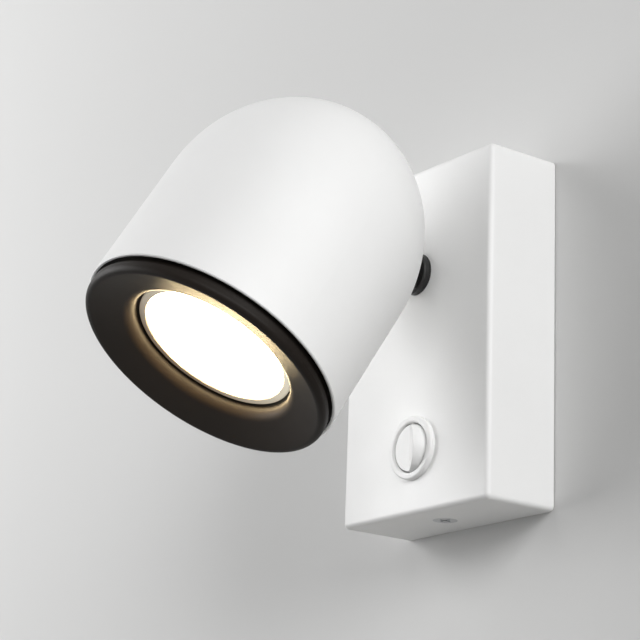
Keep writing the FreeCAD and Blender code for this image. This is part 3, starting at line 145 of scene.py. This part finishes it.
class Shader:
    """A material and the few nodes that most surfaces here need."""

    def __init__(self, name):
        self.material = bpy.data.materials.new(name)
        self.material.use_nodes = True
        self.tree = self.material.node_tree
        self.shader = self.tree.nodes["Principled BSDF"]
        self.place = self.add("ShaderNodeTexCoord").outputs["Object"]

    def add(self, kind):
        return self.tree.nodes.new(kind)

    def link(self, source, target):
        self.tree.links.new(source, target)

    def set(self, **values):
        for name, value in values.items():
            self.shader.inputs[name.replace("_", " ")].default_value = value

    def noise(self, scale, detail=3.0, stretch=EVEN, roughness=0.5):
        """Noise with `scale` blotches per metre."""
        mapping = self.add("ShaderNodeMapping")
        mapping.inputs["Scale"].default_value = stretch
        self.link(self.place, mapping.inputs["Vector"])
        node = self.add("ShaderNodeTexNoise")
        node.inputs["Scale"].default_value = scale
        node.inputs["Detail"].default_value = detail
        node.inputs["Roughness"].default_value = roughness
        self.link(mapping.outputs["Vector"], node.inputs["Vector"])
        return node.outputs["Fac"]

    def colours(self, factor, dark, light, low=NOISE_LOW, high=NOISE_HIGH, socket="Base Color"):
        """Colour that goes from `dark` where the factor is `low` to `light` where it is `high`."""
        ramp = self.add("ShaderNodeValToRGB")
        ramp.color_ramp.elements[0].position = low
        ramp.color_ramp.elements[0].color = (*dark, 1)
        ramp.color_ramp.elements[1].position = high
        ramp.color_ramp.elements[1].color = (*light, 1)
        self.link(factor, ramp.inputs["Fac"])
        self.link(ramp.outputs["Color"], self.shader.inputs[socket])

    def roughness(self, factor, low, high):
        node = self.add("ShaderNodeMapRange")
        node.inputs["To Min"].default_value = low
        node.inputs["To Max"].default_value = high
        self.link(factor, node.inputs["Value"])
        self.link(node.outputs["Result"], self.shader.inputs["Roughness"])

    def bump(self, height, distance):
        node = self.add("ShaderNodeBump")
        node.inputs["Distance"].default_value = distance
        self.link(height, node.inputs["Height"])
        self.link(node.outputs["Normal"], self.shader.inputs["Normal"])


def tone(colour, share):
    return tuple(min(1.0, channel * share) for channel in colour)


def coat(name, finish, metallic=0.0, stretch=EVEN):
    """Painted, plated or moulded surface: slow drift of colour, finer drift of gloss, fine grain."""
    made = Shader(name)
    drift = made.noise(DRIFT_SCALE, detail=DRIFT_DETAIL)
    made.colours(drift, tone(finish.colour, 1 - finish.spread), tone(finish.colour, 1 + finish.spread))
    made.roughness(made.noise(GLOSS_SCALE, stretch=stretch), *finish.rough)
    grain = made.noise(finish.grain, detail=GRAIN_DETAIL, stretch=stretch, roughness=GRAIN_ROUGHNESS)
    made.bump(grain, finish.depth)
    made.set(Metallic=metallic)
    return made


def metal(name, finish):
    """Bare or plated metal with the fine lines of turning or rolling."""
    return coat(name, finish, metallic=1.0, stretch=TURNED)


def opal():
    """Opal disc, lit from behind."""
    made = Shader("opal_lit")
    made.colours(made.noise(OPAL_SCALE), OPAL_DARK, OPAL_LIGHT)
    made.set(Roughness=OPAL_ROUGHNESS, Emission_Strength=DIFFUSER_GLOW, Emission_Color=(*DIFFUSER_LIGHT, 1))
    return made


def black_paint():
    made = coat("black_satin", BLACK_COAT)
    made.set(Specular_IOR_Level=BLACK_GLOSS)
    return made


def switch_plastic():
    made = coat("switch_gloss", SWITCH_WHITE)
    made.set(Specular_IOR_Level=SWITCH_GLOSS)
    return made


def lamp_housing_painted_light():
    """Cream plastic with a painted glow: painted shade on the left that goes to painted light on the right,
    along X.
    """
    made = coat("lamp_cream", LAMP_CREAM)
    split = made.add("ShaderNodeSeparateXYZ")
    made.link(made.place, split.inputs["Vector"])
    across = made.add("ShaderNodeMapRange")
    across.inputs["From Min"].default_value = BEZEL_SHADED_X
    across.inputs["From Max"].default_value = BEZEL_LIT_X
    made.link(split.outputs["X"], across.inputs["Value"])
    # Painted shade on the left and painted light on the right, given as an emission colour across X.
    made.colours(across.outputs["Result"], BEZEL_PAINTED_SHADE, BEZEL_PAINTED_LIGHT, low=0.0, high=1.0, socket="Emission Color")
    made.set(Emission_Strength=BEZEL_PAINTED_GLOW)
    return made


def make_materials():
    """The material of each slot in the record."""
    return {
        "white_coat": coat("white_powder", WHITE_COAT),
        "black_coat": black_paint(),
        "black_steel": coat("black_steel", BLACK_STEEL, stretch=TURNED),
        "zinc_steel": metal("zinc_plate", ZINC),
        "spring_steel": metal("spring_steel", SPRING_STEEL),
        "brass": metal("turned_brass", BRASS),
        "white_nylon": coat("white_nylon", WHITE_NYLON),
        "natural_nylon": coat("natural_nylon", PLAIN_NYLON),
        "black_nylon": coat("black_nylon", BLACK_NYLON),
        "switch_white": switch_plastic(),
        "black_rubber": coat("black_rubber", RUBBER),
        "socket_ceramic": coat("socket_ceramic", CERAMIC),
        "lamp_cream": lamp_housing_painted_light(),
        "lamp_opal": opal(),
    }


def dress_nodes():
    """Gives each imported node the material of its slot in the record."""
    made = make_materials()
    for part in frame["record"]["subparts"]:
        for slot in NODES[part["node"]].material_slots:
            slot.material = made[part["material_slot"]].material


def seen_share(tree):
    """1 for rays from the camera, in mirrors and through glass, and 0 for those that light the object."""
    path = tree.nodes.new("ShaderNodeLightPath")
    share = path.outputs["Is Camera Ray"]
    for kind in ("Is Glossy Ray", "Is Transmission Ray"):
        either = tree.nodes.new("ShaderNodeMath")
        either.operation = "MAXIMUM"
        tree.links.new(share, either.inputs[0])
        tree.links.new(path.outputs[kind], either.inputs[1])
        share = either.outputs["Value"]
    return share


def stage_material(name, colour, seen=0.0):
    """Matt paint that can't be seen from behind, so that views from the wall's side stay clear."""
    made = Shader(name)
    made.colours(made.noise(STAGE_SCALE), tone(colour, 1 - STAGE_DRIFT), tone(colour, 1 + STAGE_DRIFT))
    made.set(Roughness=STAGE_ROUGHNESS, Emission_Color=(seen, seen, seen, 1))
    made.link(seen_share(made.tree), made.shader.inputs["Emission Strength"])
    clear = made.add("ShaderNodeBsdfTransparent")
    behind = made.add("ShaderNodeNewGeometry").outputs["Backfacing"]
    mix = made.add("ShaderNodeMixShader")
    made.link(behind, mix.inputs["Fac"])
    # The two shaders that are mixed go in by number, because their sockets share a name.
    made.link(made.shader.outputs["BSDF"], mix.inputs[1])
    made.link(clear.outputs["BSDF"], mix.inputs[2])
    made.link(mix.outputs["Shader"], made.tree.nodes["Material Output"].inputs["Surface"])
    return made.material


def stage_piece(name, corners, faces, material):
    mesh = bpy.data.meshes.new(name)
    mesh.from_pydata(corners, [], faces)
    mesh.materials.append(material)
    piece = bpy.data.objects.new(name, mesh)
    bpy.context.scene.collection.objects.link(piece)


def wall_corners(left, right, bottom, top):
    return [(left, WALL_Y, bottom), (right, WALL_Y, bottom), (right, WALL_Y, top), (left, WALL_Y, top)]


def build_stage():
    """Wall with an opening hidden behind the base, which lets light in to its back, and a floor."""
    low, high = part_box("base_cover")
    outer = wall_corners(-WALL_HALF, WALL_HALF, FLOOR_Z, WALL_TOP)
    inner = wall_corners(low[0] + OPENING_EDGE, high[0] - OPENING_EDGE,
                         low[2] + OPENING_EDGE, high[2] - OPENING_EDGE)
    count = len(outer)
    sides = []
    for start in range(count):
        end = (start + 1) % count
        sides.append((start, end, end + count, start + count))
    stage_piece("stage_wall", outer + inner, sides, stage_material("wall_paint", WALL_PAINT))
    floor = [(x * FLOOR_HALF, y * FLOOR_HALF, FLOOR_Z) for x, y in ((-1, -1), (1, -1), (1, 1), (-1, 1))]
    stage_piece("stage_floor", floor, [(0, 1, 2, 3)], stage_material("floor_paint", FLOOR_PAINT, FLOOR_SEEN))


def area_light(name, place, size, watts):
    """Square soft light that points at the object."""
    data = bpy.data.lights.new(name, "AREA")
    data.size = size
    data.energy = watts
    light = bpy.data.objects.new(name, data)
    light.location = place
    light.rotation_euler = (Vector(LIGHT_AIM) - Vector(place)).to_track_quat("-Z", "Y").to_euler()
    bpy.context.scene.collection.objects.link(light)


def build_sky():
    """Plain pale surroundings, brighter above the light than below it."""
    world = bpy.data.worlds.new("studio")
    world.use_nodes = True
    tree = world.node_tree
    place = tree.nodes.new("ShaderNodeTexCoord").outputs["Generated"]
    split = tree.nodes.new("ShaderNodeSeparateXYZ")
    ramp = tree.nodes.new("ShaderNodeMapRange")
    ramp.inputs["From Min"].default_value = -SKY_TURN
    ramp.inputs["From Max"].default_value = SKY_TURN
    ramp.inputs["To Min"].default_value = SKY_BELOW
    ramp.inputs["To Max"].default_value = SKY_ABOVE
    tree.links.new(place, split.inputs["Vector"])
    tree.links.new(split.outputs["Z"], ramp.inputs["Value"])
    seen = tree.nodes.new("ShaderNodeMapRange")
    seen.inputs["To Max"].default_value = SKY_SEEN
    tree.links.new(seen_share(tree), seen.inputs["Value"])
    tree.links.new(ramp.outputs["Result"], seen.inputs["To Min"])
    tree.links.new(seen.outputs["Result"], tree.nodes["Background"].inputs["Strength"])
    tree.nodes["Background"].inputs["Color"].default_value = (1, 1, 1, 1)
    bpy.context.scene.world = world


def build_light():
    """Soft lights from the photograph's left and right, and two for the back, named as seen from there."""
    build_sky()
    area_light("key_left", place=(-1.05, -0.6, 0.0), size=0.5, watts=2.3)
    area_light("front_left", place=(-0.75, -0.75, 0.1), size=0.5, watts=4.0)
    area_light("high_left", place=(-0.9, -0.6, 0.5), size=0.5, watts=3.6)
    area_light("edge_right", place=(3.04, -0.382, 0.8), size=1.12, watts=49.5)
    area_light("front_right", place=(1.3, -1.1, 0.6), size=0.7, watts=11.9)
    area_light("back_left", place=(0.6, 1.2, 0.6), size=0.7, watts=9.0)
    area_light("back_right", place=(-0.7, 1.1, 0.2), size=0.7, watts=6.0)


place_camera()
dress_nodes()
build_stage()
build_light()
bpy.context.scene.view_settings.view_transform = "Standard"
